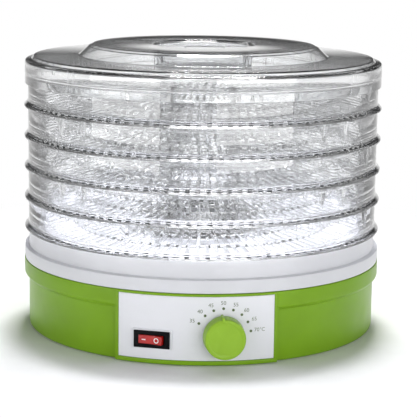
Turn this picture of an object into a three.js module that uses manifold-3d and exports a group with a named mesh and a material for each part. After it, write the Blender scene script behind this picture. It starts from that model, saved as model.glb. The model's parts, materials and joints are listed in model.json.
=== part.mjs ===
// Food dehydrator: a round fan heater base with a control panel, five stacked clear
// trays and a clear lid. Millimetres, +Z up, front towards -Y. The origin is on the
// surface it stands on, on the axis of the round body.
import * as THREE from 'three';
import { mergeVertices } from 'three/addons/utils/BufferGeometryUtils.js';
import Module from 'manifold-3d';

const wasm = await Module();
wasm.setup();

// ---------------------------------------------------------------- driving dimensions
const GAP = 0.3; // clearance between pieces that touch on the real object
const TURNS = 40; // facets round the large rings
const TRAY_TURNS = 32; // facets round a tray
const WALL = 2.0; // usual wall of the clear mouldings

const BAND_R = 162.5; // widest radius of the base
const FRAME_R = 162.7; // raised frame round the control panel
const BODY_R = 158.5; // wall of the base under the band
const BODY_BOTTOM_Z = 0.4;
const BAND_LOW_Z = 47.0;
const SEAM_Z = 62.2; // joint between the green housing and the white deck

const LEDGE_Z = 74.6; // where the deck steps in to its upper wall
const DECK_TOP_Z = 90.7;
const DECK_WALL_R = 158.2;
const OUTLET_R = 67.6; // air outlet in the middle of the deck

const TRAY_COUNT = 5;
const TRAY_PITCH = 27.6;
const TRAY_SEAT_Z = DECK_TOP_Z + GAP; // shoulder of the lowest tray
const TRAY_WALL_R = 158.8;
const TRAY_LIP_R = 162.3;
const TRAY_SKIRT_R = 154.5; // ring under the floor that centres the tray on the one below
const TRAY_SKIRT_DROP = 8.0;
const TRAY_FLOOR = 2.2;
const CHIMNEY_R = 30.0;
const CHIMNEY_HEIGHT = 12.0;
const FLOOR_SLOTS = 24;
const SLOT_WIDTH = 7.0;
const SLOT_FROM_R = 40.0;
const SLOT_TO_R = 146.0;

const LID_R = 162.3;
const LID_SKIRT_DROP = 7.8;
const LID_RIM_Z = 242.4;
const LID_FLAT_Z = 245.5;
const DOME_TOP_Z = 256.0;
const WELL_R = 42.0; // finger well in the middle of the lid
const WELL_FLOOR_Z = 231.5;

const PANEL_HALF_ANGLE = THREE.MathUtils.degToRad(23.7);
const FRAME_HALF_ANGLE = THREE.MathUtils.degToRad(24.85);
const PANEL_LOW_Z = 4.9;
const PANEL_HIGH_Z = 59.9;
const PANEL_THICKNESS = 1.6;

const SWITCH_ANGLE = THREE.MathUtils.degToRad(-13.0);
const SWITCH_Z = 22.1;
const SWITCH_WIDTH = 31.3;
const SWITCH_HEIGHT = 14.8;
const ROCKER_HALF_HEIGHT = 3.6;
const ROCKER_TILT = THREE.MathUtils.degToRad(8);

const KNOB_ANGLE = THREE.MathUtils.degToRad(8.2);
const KNOB_Z = 26.5;
const KNOB_R = 17.8;
const KNOB_REACH = 14.0; // from the panel to the knob's face
const KNOB_POINTER = THREE.MathUtils.degToRad(6); // pointer, anticlockwise of straight up

const PLATE_LOW_Z = 2.3;
const PLATE_HIGH_Z = 4.7;
const PLATE_R = 152.8;
const SCREW_CIRCLE_R = 139.0;
const FOOT_CIRCLE_R = 120.0;

const STRAP_POST_Y = 66.0;
const STATOR_LOW_Z = 20.0;
const STATOR_HIGH_Z = 38.0;
const STATOR_BORE_R = 13.2;
const ROTOR_R = 12.6;
const MOTOR_SCREW_Y = 19.0;
const SHAFT_R = 2.0;
const FAN_R = 60.0;
const FAN_MID_Z = 55.5;
const FAN_BLADES = 7;
const CUP_R = 64.0; // inside of the metal cup round fan and heater
const CUP_LOW_Z = 30.0;
const CUP_HIGH_Z = 74.5;
const HEATER_Z = 70.0;
const COIL_R = 44.0;
const COIL_WAVE = 8.0;

const INLET_Z = 22.0;
const INLET_R = 7.0;
const INLET_REACH = 15.0; // how far the bush stands out of the back

// ---------------------------------------------------------------- materials
function finish(color, roughness, metalness = 0) {
  return () => new THREE.MeshStandardMaterial({ color, roughness, metalness });
}

const greenPlastic = finish(0x86b53a, 0.35);
const knobPlastic = finish(0x93bd3d, 0.4);
const whitePlastic = finish(0xdadbe0, 0.35);
const blackPlastic = finish(0x141414, 0.4);
const redPlastic = finish(0xb01818, 0.25);
const rubber = finish(0x262626, 0.9);
const steel = finish(0xa9adb0, 0.35, 1);
const laminations = finish(0x6f7478, 0.5, 1);
const aluminium = finish(0xc4c7c9, 0.4, 1);
const brass = finish(0xc2a052, 0.35, 1);
const copper = finish(0xa65c32, 0.4, 1);
const nichrome = finish(0x5b5550, 0.5, 1);
const mica = finish(0xb9a98a, 0.7);
const ceramic = finish(0xe8e4da, 0.6);
const greyPlastic = finish(0x4a4c4e, 0.5);
const insulation = finish(0x8a3b2c, 0.6);

function clearPlastic() {
  return new THREE.MeshStandardMaterial({
    color: 0xe6e8ea,
    roughness: 0.08,
    transparent: true,
    opacity: 0.35,
  });
}

// ---------------------------------------------------------------- solids
function solid(geometry) {
  geometry.deleteAttribute('normal');
  geometry.deleteAttribute('uv');
  const merged = mergeVertices(geometry, 1e-4);
  const index = merged.index.array;
  const triangles = [];
  for (let i = 0; i < index.length; i += 3) {
    const [a, b, c] = index.slice(i, i + 3);
    if (a !== b && b !== c && c !== a) {
      triangles.push(a, b, c);
    }
  }
  return new wasm.Manifold(
    new wasm.Mesh({
      numProp: 3,
      vertProperties: merged.attributes.position.array,
      triVerts: new Uint32Array(triangles),
    }),
  );
}

function signedArea(points) {
  let area = 0;
  points.forEach(([r, z], i) => {
    const [nextR, nextZ] = points[(i + 1) % points.length];
    area += r * nextZ - nextR * z;
  });
  return area / 2;
}

// A closed outline of [radius, height] pairs, turned round the vertical axis.
function turned(points, facets = TURNS) {
  const outline = signedArea(points) > 0 ? [...points] : [...points].reverse();
  outline.push(outline[0]);
  const profile = outline.map(([r, z]) => new THREE.Vector2(r, z));
  return solid(new THREE.LatheGeometry(profile, facets).rotateX(Math.PI / 2));
}

function tube(inner, outer, low, high, facets = 24) {
  return turned([[inner, low], [outer, low], [outer, high], [inner, high]], facets);
}

function rod(radius, low, high, facets = 16) {
  const cylinder = new THREE.CylinderGeometry(radius, radius, high - low, facets);
  return solid(cylinder.rotateX(Math.PI / 2).translate(0, 0, (low + high) / 2));
}

function hexNut(bore, outer, low, high) {
  return rod(outer, low, high, 6).subtract(rod(bore, low - 1, high + 1, 12));
}

function block(x, y, z) {
  const box = new THREE.BoxGeometry(x[1] - x[0], y[1] - y[0], z[1] - z[0]);
  return solid(box.translate((x[0] + x[1]) / 2, (y[0] + y[1]) / 2, (z[0] + z[1]) / 2));
}

// A slab with the given outline in the XY plane, from low to high.
function slab(shape, low, high, curveSegments = 3) {
  const geometry = new THREE.ExtrudeGeometry(shape, {
    depth: high - low,
    bevelEnabled: false,
    curveSegments,
  });
  return solid(geometry.translate(0, 0, low));
}

// A piece of a ring. Angles are measured from the front, positive towards +X.
function ringPiece(inner, outer, from, to, low, high, curveSegments = 3) {
  const start = from - Math.PI / 2;
  const end = to - Math.PI / 2;
  const shape = new THREE.Shape();
  shape.absarc(0, 0, outer, start, end, false);
  shape.absarc(0, 0, inner, end, start, true);
  return slab(shape, low, high, curveSegments);
}

// The part of a turned body between two angles from the front.
function wedgeOf(body, from, to) {
  const far = 300;
  const shape = new THREE.Shape();
  shape.moveTo(0, 0);
  shape.lineTo(far * Math.sin(from), -far * Math.cos(from));
  shape.lineTo(far * Math.sin(to), -far * Math.cos(to));
  return body.intersect(slab(shape, -far, far));
}

function at(body, x, y, z = 0) {
  return body.translate([x, y, z]);
}

function onCircle(body, radius, angle) {
  return at(body, radius * Math.sin(angle), -radius * Math.cos(angle));
}

function joined(bodies) {
  return wasm.Manifold.union(bodies);
}

// Equal pieces round the axis, the first one offset by phase steps.
function around(count, make, phase = 0) {
  return Array.from({ length: count }, (_, i) => make(((i + phase) * 2 * Math.PI) / count, i));
}

const appliance = new THREE.Group();

function place(name, body, material, parent = appliance) {
  const source = body.getMesh();
  const geometry = new THREE.BufferGeometry();
  geometry.setAttribute('position', new THREE.BufferAttribute(source.vertProperties, 3));
  geometry.setIndex(new THREE.BufferAttribute(source.triVerts, 1));
  geometry.computeVertexNormals();
  const mesh = new THREE.Mesh(geometry, material());
  mesh.name = name;
  parent.add(mesh);
  return mesh;
}

// A group on the panel: its +Z points outwards, its +Y up, its origin on the panel's face.
function panelGroup(angle, height) {
  const group = new THREE.Group();
  const [x, y] = [BAND_R * Math.sin(angle), -BAND_R * Math.cos(angle)];
  group.position.set(x, y, height);
  group.rotation.set(Math.PI / 2, 0, angle, 'ZYX');
  appliance.add(group);
  return group;
}

function alongPanel(body, angle, height) {
  const degrees = THREE.MathUtils.radToDeg(angle);
  const turnedOut = body.rotate([90, 0, 0]).rotate([0, 0, degrees]);
  return at(turnedOut, BAND_R * Math.sin(angle), -BAND_R * Math.cos(angle), height);
}

// ---------------------------------------------------------------- base
function baseHousing() {
  const bodyInner = BODY_R - 2.5;
  const bandInner = BAND_R - 2.8;
  const shoulderZ = BAND_LOW_Z + 2.5;
  const lipLow = PLATE_HIGH_Z + GAP;
  const lipTop = lipLow + 2.5;
  const shell = turned([
    [PLATE_R + 0.6, BODY_BOTTOM_Z],
    [BODY_R - 2, BODY_BOTTOM_Z],
    [BODY_R, BODY_BOTTOM_Z + 2],
    [BODY_R, BAND_LOW_Z - 2.6],
    [BAND_R, BAND_LOW_Z + 0.6],
    [BAND_R, SEAM_Z],
    [bandInner, SEAM_Z],
    [bandInner, shoulderZ],
    [bodyInner, BAND_LOW_Z],
    [bodyInner, lipTop],
    [146, lipTop],
    [146, lipLow],
    [PLATE_R + 0.6, lipLow],
  ]);
  const frameRing = tube(bodyInner - 0.5, FRAME_R, BODY_BOTTOM_Z + 0.1, SEAM_Z - 0.1, TURNS);
  const spigotRoom = tube(BODY_R - 9, bandInner - 0.1, shoulderZ - 0.2, SEAM_Z + 1, TURNS);
  const frame = wedgeOf(frameRing.subtract(spigotRoom), -FRAME_HALF_ANGLE, FRAME_HALF_ANGLE);
  const side = THREE.MathUtils.degToRad(0.15);
  const seatR = BAND_R - PANEL_THICKNESS - GAP;
  const seat = wedgeOf(
    tube(seatR, FRAME_R + 5, PANEL_LOW_Z - GAP, PANEL_HIGH_Z + GAP, TURNS),
    -PANEL_HALF_ANGLE - side,
    PANEL_HALF_ANGLE + side,
  );
  const rest = THREE.MathUtils.degToRad(1.5);
  const window = wedgeOf(
    tube(BODY_R - 10, FRAME_R + 5, PANEL_LOW_Z + 3, PANEL_HIGH_Z - 4, TURNS),
    -PANEL_HALF_ANGLE + rest,
    PANEL_HALF_ANGLE - rest,
  );
  const bosses = around(4, (a) => {
    const web = block([-3, 3], [-BODY_R + 1.4, -SCREW_CIRCLE_R], [lipLow + 0.6, 18.5]);
    const post = at(rod(4.6, lipLow + 0.6, 19, 12), 0, -SCREW_CIRCLE_R);
    return web.add(post).rotate([0, 0, THREE.MathUtils.radToDeg(a)]);
  }, 0.5);
  const holes = around(4, (a) => onCircle(rod(1.9, 0, 17, 8), SCREW_CIRCLE_R, a), 0.5);
  const inlet = rod(INLET_R + GAP, -12, 12).rotate([90, 0, 0]);
  const notchAngle = THREE.MathUtils.degToRad(-80);
  const notch = onCircle(rod(7, SEAM_Z - 7, SEAM_Z + 1), BAND_R + 5.4, notchAngle);
  return joined([shell, frame, ...bosses])
    .subtract(joined([seat, window, ...holes]))
    .subtract(at(inlet, 0, BODY_R, INLET_Z))
    .subtract(notch);
}

function topDeck() {
  const inner = DECK_TOP_Z - 9.2;
  const plate = turned([
    [159.3, SEAM_Z - 6.5],
    [159.3, SEAM_Z + GAP],
    [TRAY_LIP_R, SEAM_Z + GAP],
    [TRAY_LIP_R, LEDGE_Z - 1],
    [DECK_WALL_R + 0.4, LEDGE_Z],
    [DECK_WALL_R, DECK_TOP_Z],
    [DECK_WALL_R - WALL, DECK_TOP_Z],
    [DECK_WALL_R - WALL, inner],
    [150, inner - 2.5],
    [OUTLET_R + 2.4, inner - 3.9],
    [OUTLET_R + 2.4, inner - 0.5],
    [OUTLET_R, inner - 0.5],
    [OUTLET_R, inner - 6.1],
    [150, inner - 4.7],
    [156.4, inner - 2.9],
    [157.4, SEAM_Z - 6.5],
  ]);
  const bosses = around(3, (a) => onCircle(rod(3.6, 70.2, inner - 5, 10), OUTLET_R + 4.4, a), 0.25);
  const holes = around(3, (a) => onCircle(rod(1.6, 69, inner - 5.6, 8), OUTLET_R + 4.4, a), 0.25);
  return joined([plate, ...bosses]).subtract(joined(holes));
}

function outletGrille() {
  const low = DECK_TOP_Z - 14.2;
  const disc = rod(OUTLET_R - GAP, low, low + 2, TURNS);
  const openings = [[14, 36], [40, 62]].flatMap(([inner, outer], row) => {
    const count = 6 + 4 * row;
    const width = Math.PI / count - 2.2 / ((inner + outer) / 2);
    return around(count, (a) => ringPiece(inner, outer, a - width, a + width, low - 1, low + 3, 1));
  });
  return disc.subtract(joined(openings));
}

function bottomPlate() {
  const disc = rod(PLATE_R, PLATE_LOW_Z, PLATE_HIGH_Z, TURNS);
  const slots = [[26, 40], [45, 59]].flatMap(([inner, outer]) =>
    around(8, (a) => ringPiece(inner, outer, a - 0.33, a + 0.33, 0, 8, 1), 0.5),
  );
  const posts = [-1, 1].map((side) => at(rod(5, PLATE_HIGH_Z - 1, 16, 12), 0, side * STRAP_POST_Y));
  const bores = [-1, 1].map((side) => at(rod(1.9, 6.5, 20, 8), 0, side * STRAP_POST_Y));
  const screwHoles = around(4, (a) => onCircle(rod(2.1, 0, 8, 8), SCREW_CIRCLE_R, a), 0.5);
  return joined([disc, ...posts]).subtract(joined([...slots, ...bores, ...screwHoles]));
}

// A pan head screw pointing up from its head.
function screwUp(shankR, headR, seat, length) {
  return rod(headR, seat - 2, seat, 12).add(rod(shankR, seat - 0.5, seat + length, 8));
}

function screwDown(shankR, headR, seat, length) {
  return screwUp(shankR, headR, 0, length).rotate([180, 0, 0]).translate([0, 0, seat]);
}

// ---------------------------------------------------------------- motor and fan
function motorStator() {
  const [low, high] = [STATOR_LOW_Z, STATOR_HIGH_Z];
  const core = block([-46, 25], [-25, 25], [low, high]);
  const bore = rod(STATOR_BORE_R, low - 1, high + 1, 24);
  const window = block([-34, -19], [-14, 14], [low - 1, high + 1]);
  const screwHoles = [-1, 1].map((side) =>
    at(rod(2.2, low - 1, high + 1, 8), 0, side * MOTOR_SCREW_Y),
  );
  return core.subtract(joined([bore, window, ...screwHoles]));
}

function coilBody(inner, outer, halfLength) {
  const [x, z] = [-40, (STATOR_LOW_Z + STATOR_HIGH_Z) / 2];
  const leg = [6, 9];
  const box = (grow, length) =>
    block(
      [x - leg[0] - grow, x + leg[0] + grow],
      [-length, length],
      [z - leg[1] - grow, z + leg[1] + grow],
    );
  return box(outer, halfLength).subtract(box(inner, halfLength + 5));
}

function coilBobbin() {
  const sleeve = coilBody(GAP, 1.5, 13.5);
  const cheek = coilBody(GAP, 6.2, 13.5).subtract(coilBody(GAP, 9, 12.3));
  return sleeve.add(cheek);
}

function motorBridge(strapLow, reach, cupFrom, cupTo, padFrom, padTo) {
  const strap = block([-7, 7], [-reach, reach], [strapLow, strapLow + 2]);
  const cup = rod(8, cupFrom, cupTo);
  const pads = [-1, 1].map((side) => at(rod(5, padFrom, padTo, 12), 0, side * MOTOR_SCREW_Y));
  const bore = rod(5 + GAP, 0, 60);
  const screwHoles = [MOTOR_SCREW_Y, STRAP_POST_Y].flatMap((y) =>
    [-y, y].map((side) => at(rod(2.2, 0, 60, 8), 0, side)),
  );
  return joined([strap, cup, ...pads]).subtract(joined([bore, ...screwHoles]));
}

function fanImpeller() {
  const hub = rod(9, FAN_MID_Z - 5.5, FAN_MID_Z + 6.5);
  const blades = around(FAN_BLADES, (a) => {
    const blade = block([6, FAN_R], [-8.5, 8.5], [-0.8, 0.8]).rotate([32, 0, 0]);
    return at(blade.rotate([0, 0, THREE.MathUtils.radToDeg(a)]), 0, 0, FAN_MID_Z);
  });
  return joined([hub, ...blades]).subtract(rod(SHAFT_R + 0.2, 0, 100, 12));
}

function heaterCup() {
  const flangeZ = 68.7;
  const shell = turned([
    [CUP_R, CUP_LOW_Z],
    [CUP_R + 1.2, CUP_LOW_Z],
    [CUP_R + 1.2, flangeZ],
    [CUP_R + 12, flangeZ],
    [CUP_R + 12, flangeZ + 1.2],
    [CUP_R + 1.2, flangeZ + 1.2],
    [CUP_R + 1.2, CUP_HIGH_Z],
    [CUP_R, CUP_HIGH_Z],
  ], 32);
  const holes = around(3, (a) => onCircle(rod(1.8, 60, 72, 8), OUTLET_R + 4.4, a), 0.25);
  return shell.subtract(joined(holes));
}

function heaterFrame() {
  const reach = CUP_R - 0.5;
  const boards = [
    block([-reach, reach], [-0.6, 0.6], [HEATER_Z - 4, HEATER_Z + 3.5]),
    block([-0.6, 0.6], [-reach, reach], [HEATER_Z - 4, HEATER_Z + 3.5]),
  ];
  const half = COIL_WAVE / 2 + 2.5;
  const groove = tube(COIL_R - half, COIL_R + half, HEATER_Z - 1.6, HEATER_Z + 8);
  return joined(boards).subtract(groove);
}

// A closed wire: a wave that runs round the axis.
function heatingCoil() {
  const waves = 20;
  class Wave extends THREE.Curve {
    getPoint(t, target = new THREE.Vector3()) {
      const angle = 2 * Math.PI * t;
      const radius = COIL_R + (COIL_WAVE / 2) * Math.cos(waves * angle);
      return target.set(radius * Math.sin(angle), -radius * Math.cos(angle), HEATER_Z);
    }
  }
  const section = new THREE.Shape();
  const sides = 5;
  for (let i = 0; i <= sides; i += 1) {
    const a = (2 * Math.PI * i) / sides;
    section[i ? 'lineTo' : 'moveTo'](0.9 * Math.cos(a), 0.9 * Math.sin(a));
  }
  const angleStep = 0.004;
  const open = new THREE.Curve();
  open.getPoint = (t, target) => new Wave().getPoint(angleStep + t * (1 - 2 * angleStep), target);
  const wire = new THREE.ExtrudeGeometry(section, { steps: waves * 3, extrudePath: open });
  return solid(wire);
}

// ---------------------------------------------------------------- controls
function controlPanel() {
  const [low, high] = [PANEL_LOW_Z, PANEL_HIGH_Z];
  const inner = BAND_R - PANEL_THICKNESS;
  const ring = tube(inner, BAND_R, low, high, TURNS);
  const plate = wedgeOf(ring, -PANEL_HALF_ANGLE, PANEL_HALF_ANGLE);
  const [w, h] = [SWITCH_WIDTH / 2 + 1.6, SWITCH_HEIGHT / 2 + 1.3];
  const pad = block([-w, w], [-h, h], [-PANEL_THICKNESS, 0.5]);
  const opening = block([-14, 14], [-6.1, 6.1], [-6, 3]);
  const neck = rod(5.5, -8, 4);
  return plate
    .add(alongPanel(pad, SWITCH_ANGLE, SWITCH_Z))
    .subtract(alongPanel(opening, SWITCH_ANGLE, SWITCH_Z))
    .subtract(alongPanel(neck, KNOB_ANGLE, KNOB_Z));
}

function switchHousing() {
  const [w, h] = [SWITCH_WIDTH / 2, SWITCH_HEIGHT / 2];
  const bezel = block([-w, w], [-h, h], [0.5 + GAP, 2.2]);
  const box = block([-13.6, 13.6], [-5.8, 5.8], [-16, 1.5]);
  const side = ROCKER_HALF_HEIGHT + 0.5;
  const cavity = block([-11.6, 11.6], [-side, side], [-9, 5]);
  return bezel.add(box).subtract(cavity);
}

// The rocker pivots about its own upright axis, 3 mm behind the panel's face.
function switchRocker() {
  const outline = new THREE.Shape();
  outline.moveTo(-10.2, 6.2);
  outline.lineTo(0, 5.4);
  outline.lineTo(10.2, 6.2);
  outline.lineTo(10.4, 1.5);
  outline.lineTo(6, -3.5);
  outline.lineTo(-6, -3.5);
  outline.lineTo(-10.4, 1.5);
  const bar = slab(outline, -ROCKER_HALF_HEIGHT, ROCKER_HALF_HEIGHT).rotate([90, 0, 0]);
  return bar.rotate([0, -THREE.MathUtils.radToDeg(ROCKER_TILT), 0]).translate([0, 0, -2]);
}

function thermostatBody() {
  const box = block([-14, 14], [-14, 14], [-28, -13]);
  const neck = rod(5, -14, 0.6);
  const bore = rod(3 + GAP, -20, 2);
  return box.add(neck).subtract(bore);
}

function thermostatKnob() {
  const base = 1.6;
  const cap = turned([
    [0, base + 3],
    [KNOB_R - 3.2, base + 3],
    [KNOB_R - 3.2, base],
    [KNOB_R, base],
    [KNOB_R - 0.5, KNOB_REACH - 1.6],
    [KNOB_R - 2.1, KNOB_REACH],
    [0, KNOB_REACH],
  ], 36);
  const pointer = block([-1.1, 1.1], [KNOB_R - 3, KNOB_R + 1.6], [base + 1, KNOB_REACH - 0.2]);
  const bore = rod(3 + GAP, -1, 10.5);
  const degrees = THREE.MathUtils.radToDeg(KNOB_POINTER);
  return cap.add(pointer).subtract(bore).rotate([0, 0, degrees]);
}

// ---------------------------------------------------------------- trays and lid
function trayBody() {
  const top = TRAY_PITCH - GAP;
  const wallInner = TRAY_WALL_R - WALL;
  const shell = turned([
    [TRAY_SKIRT_R - 1.6, -TRAY_SKIRT_DROP],
    [TRAY_SKIRT_R, -TRAY_SKIRT_DROP],
    [TRAY_SKIRT_R, 0],
    [TRAY_LIP_R - 1.9, 0],
    [TRAY_LIP_R - 1.9, -2.2],
    [TRAY_LIP_R, -2.2],
    [TRAY_LIP_R, 1.6],
    [TRAY_WALL_R, 5.4],
    [TRAY_WALL_R, top],
    [wallInner, top],
    [wallInner, TRAY_FLOOR],
    [CHIMNEY_R - 1, TRAY_FLOOR],
    [CHIMNEY_R - 1, 0],
    [TRAY_SKIRT_R - 1.6, 0],
  ], TRAY_TURNS);
  const chimney = tube(CHIMNEY_R - 1.8, CHIMNEY_R, 0, CHIMNEY_HEIGHT, 18);
  const slots = around(FLOOR_SLOTS, (a) => {
    const slot = block([-SLOT_WIDTH / 2, SLOT_WIDTH / 2], [SLOT_FROM_R, SLOT_TO_R], [-1, 4]);
    return slot.rotate([0, 0, THREE.MathUtils.radToDeg(a)]);
  }, 0.5);
  return shell.add(chimney).subtract(joined(slots));
}

function lidBody() {
  const seat = TRAY_SEAT_Z + TRAY_COUNT * TRAY_PITCH;
  const skirtLow = seat - LID_SKIRT_DROP;
  const inner = LID_R - WALL;
  const shell = turned([
    [inner, skirtLow],
    [LID_R, skirtLow],
    [LID_R, LID_RIM_Z - 2],
    [LID_R - 2.2, LID_RIM_Z],
    [155.5, LID_RIM_Z + 0.6],
    [153.5, LID_FLAT_Z],
    [113, LID_FLAT_Z + 0.6],
    [103, DOME_TOP_Z - 2],
    [100, DOME_TOP_Z],
    [WELL_R + 4, DOME_TOP_Z],
    [WELL_R, DOME_TOP_Z - 4],
    [WELL_R - 0.8, WELL_FLOOR_Z + WALL],
    [0, WELL_FLOOR_Z + WALL],
    [0, WELL_FLOOR_Z],
    [WELL_R + 1, WELL_FLOOR_Z],
    [WELL_R + WALL, DOME_TOP_Z - 5],
    [WELL_R + WALL + 3.4, DOME_TOP_Z - WALL],
    [99, DOME_TOP_Z - WALL],
    [111, LID_FLAT_Z - WALL],
    [152, LID_FLAT_Z - WALL],
    [inner, LID_RIM_Z - WALL - 1],
    [inner, seat + 2],
    [TRAY_WALL_R - WALL, seat + 2],
    [TRAY_WALL_R - WALL, seat],
    [inner, seat],
  ]);
  const window = block([-17.5, 17.5], [-WELL_R - 6, -WELL_R + 6], [WELL_FLOOR_Z + 3.5, WELL_FLOOR_Z + 11]);
  const vents = around(4, (a) => window.rotate([0, 0, THREE.MathUtils.radToDeg(a)]));
  return shell.subtract(joined(vents));
}

// ---------------------------------------------------------------- wiring and inlet
function cordInlet() {
  const collar = turned([
    [4, -3.2],
    [INLET_R, -3.2],
    [INLET_R, 0.6],
    [INLET_R + 3, 0.6],
    [INLET_R + 3, 3],
    [INLET_R - 1, 4.6],
    [INLET_R - 1.8, INLET_REACH],
    [4, INLET_REACH],
  ], 12);
  return at(collar.rotate([-90, 0, 0]), 0, BODY_R, INLET_Z);
}

function wire(points) {
  const path = new THREE.CatmullRomCurve3(points.map((p) => new THREE.Vector3(...p)));
  const section = new THREE.Shape();
  section.absarc(0, 0, 1.2, 0, 2 * Math.PI, false);
  return solid(new THREE.ExtrudeGeometry(section, { steps: 16, extrudePath: path, curveSegments: 3 }));
}

// ---------------------------------------------------------------- assembly
place('base_housing', baseHousing(), greenPlastic);
place('top_deck', topDeck(), whitePlastic);
place('outlet_grille', outletGrille(), greyPlastic);
place('bottom_plate', bottomPlate(), blackPlastic);
place('control_panel', controlPanel(), whitePlastic);

around(4, (a, i) => {
  const pad = rod(10, 0, PLATE_LOW_Z - GAP, 18);
  place(`foot_${i + 1}`, onCircle(pad, FOOT_CIRCLE_R, a), rubber);
}, 0.5);
around(4, (a, i) => {
  const screw = screwUp(1.6, 3.4, PLATE_LOW_Z - 0.1, 12);
  place(`base_screw_${i + 1}`, onCircle(screw, SCREW_CIRCLE_R, a), steel);
}, 0.5);

place('motor_stator', motorStator(), laminations);
place('coil_bobbin', coilBobbin(), greyPlastic);
place('motor_coil', coilBody(1.5 + GAP, 6, 12), copper);
place('motor_bridge_lower', motorBridge(16.3, 73, 10, 17, 17, 19.7), steel);
place('motor_bridge_upper', motorBridge(39.8, 25, 40, 47.5, 38.3, 41), steel);
place('bearing_lower', tube(SHAFT_R + 0.1, 5, 11, 17.8, 12), brass);
place('bearing_upper', tube(SHAFT_R + 0.1, 5, 40.5, 47, 12), brass);
[-1, 1].forEach((side, i) => {
  place(`motor_screw_${i + 1}`, at(screwDown(1.9, 3.6, 42.1, 27.5), 0, side * MOTOR_SCREW_Y), steel);
  place(`strap_screw_${i + 1}`, at(screwDown(1.6, 3.4, 18.6, 11), 0, side * STRAP_POST_Y), steel);
});

place('motor_shaft', rod(SHAFT_R, 9.5, 66, 12), steel);
place('rotor_core', tube(SHAFT_R + 0.2, ROTOR_R, STATOR_LOW_Z + 0.5, STATOR_HIGH_Z - 0.2), aluminium);
place('fan_impeller', fanImpeller(), aluminium);
place('fan_nut', hexNut(SHAFT_R + 0.2, 4.4, FAN_MID_Z + 6.8, FAN_MID_Z + 9.6), steel);

place('heater_cup', heaterCup(), aluminium);
around(3, (a, i) => {
  const screw = screwUp(1.3, 3.0, 68.4, 6);
  place(`cup_screw_${i + 1}`, onCircle(screw, OUTLET_R + 4.4, a), steel);
}, 0.25);
place('heater_frame', heaterFrame(), mica);
place('heating_coil', heatingCoil(), nichrome);

const cutout = rod(8, 0, 5.5, 20).add(block([-11, 11], [-4, 4], [0, 1]));
place('thermal_cutout', at(cutout.rotate([0, -90, 0]), -CUP_R - 1.2 - 0.5, 0, 56), ceramic);

const switchGroup = panelGroup(SWITCH_ANGLE, SWITCH_Z);
place('switch_housing', switchHousing(), blackPlastic, switchGroup);
place('switch_rocker', switchRocker(), redPlastic, switchGroup);
[-6, 6].forEach((x, i) => {
  const tab = block([x - 0.4, x + 0.4], [-3.1, 3.1], [-24.5, -16 - GAP]);
  place(`switch_terminal_${i + 1}`, tab, brass, switchGroup);
});

const knobGroup = panelGroup(KNOB_ANGLE, KNOB_Z);
place('thermostat_body', thermostatBody(), ceramic, knobGroup);
place('thermostat_nut', hexNut(5 + GAP, 8, -6, -3.2), steel, knobGroup);
place('thermostat_shaft', rod(3, -19, 10, 20), steel, knobGroup);
place('thermostat_knob', thermostatKnob(), knobPlastic, knobGroup);

place('cord_inlet', cordInlet(), blackPlastic);
place('terminal_block', block([-13, 13], [112, 124], [PLATE_HIGH_Z + GAP, 16]), ceramic);
place('wire_live', wire([[-8, 111, 12], [-40, 100, 14], [-95, 45, 12], [-95, -45, 12], [-58, -108, 20], [-36.5, -128, 24]]), insulation);
place('wire_heater', wire([[8, 111, 12], [45, 98, 14], [88, 40, 20], [84, 0, 40], [79, 0, 60], [77.5, 4, 66]]), insulation);
place('wire_control', wire([[0, 111, 9], [50, 88, 10], [100, 40, 10], [98, -45, 12], [60, -100, 20], [28, -128.5, 27]]), insulation);

for (let i = 0; i < TRAY_COUNT; i += 1) {
  const mesh = place(`tray_${i + 1}`, trayBody(), clearPlastic);
  mesh.position.z = TRAY_SEAT_Z + i * TRAY_PITCH;
}
place('lid', lidBody(), clearPlastic);

export default appliance;
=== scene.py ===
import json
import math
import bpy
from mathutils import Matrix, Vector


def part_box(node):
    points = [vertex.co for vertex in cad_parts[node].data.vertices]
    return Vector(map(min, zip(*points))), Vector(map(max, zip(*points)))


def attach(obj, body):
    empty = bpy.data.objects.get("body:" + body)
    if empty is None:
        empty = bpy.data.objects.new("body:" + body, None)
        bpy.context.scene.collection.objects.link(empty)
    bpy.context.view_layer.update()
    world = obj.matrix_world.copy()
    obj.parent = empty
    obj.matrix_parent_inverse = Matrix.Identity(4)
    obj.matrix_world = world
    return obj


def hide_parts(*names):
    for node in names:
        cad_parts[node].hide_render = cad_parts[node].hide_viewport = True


bl_info = {
    "name": "Food Dehydrator",
    "version": (1, 0, 0),
    "blender": (4, 5, 0),
    "location": "View3D > Sidebar > Dehydrator",
    "description": "Builds the shells, trays, lid and finishes of a round food dehydrator",
    "category": "Add Mesh",
}

import bpy
from bpy.props import FloatProperty, FloatVectorProperty, IntProperty, PointerProperty
from mathutils import Matrix, Vector

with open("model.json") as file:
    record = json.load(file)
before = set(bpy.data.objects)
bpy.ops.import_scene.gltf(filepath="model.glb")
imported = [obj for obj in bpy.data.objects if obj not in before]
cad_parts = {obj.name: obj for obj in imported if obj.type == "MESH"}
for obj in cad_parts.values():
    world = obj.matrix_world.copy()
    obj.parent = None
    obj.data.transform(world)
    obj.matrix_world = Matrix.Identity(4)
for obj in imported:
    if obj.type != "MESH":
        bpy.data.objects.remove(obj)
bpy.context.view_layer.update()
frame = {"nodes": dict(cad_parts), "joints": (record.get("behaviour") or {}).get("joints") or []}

MM = 0.001
TRAYS = ["tray_%d" % (i + 1) for i in range(5)]


def box_mm(node):
    """Lowest and highest corner of a CAD node, in millimetres."""
    low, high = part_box(node)
    return low / MM, high / MM


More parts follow.
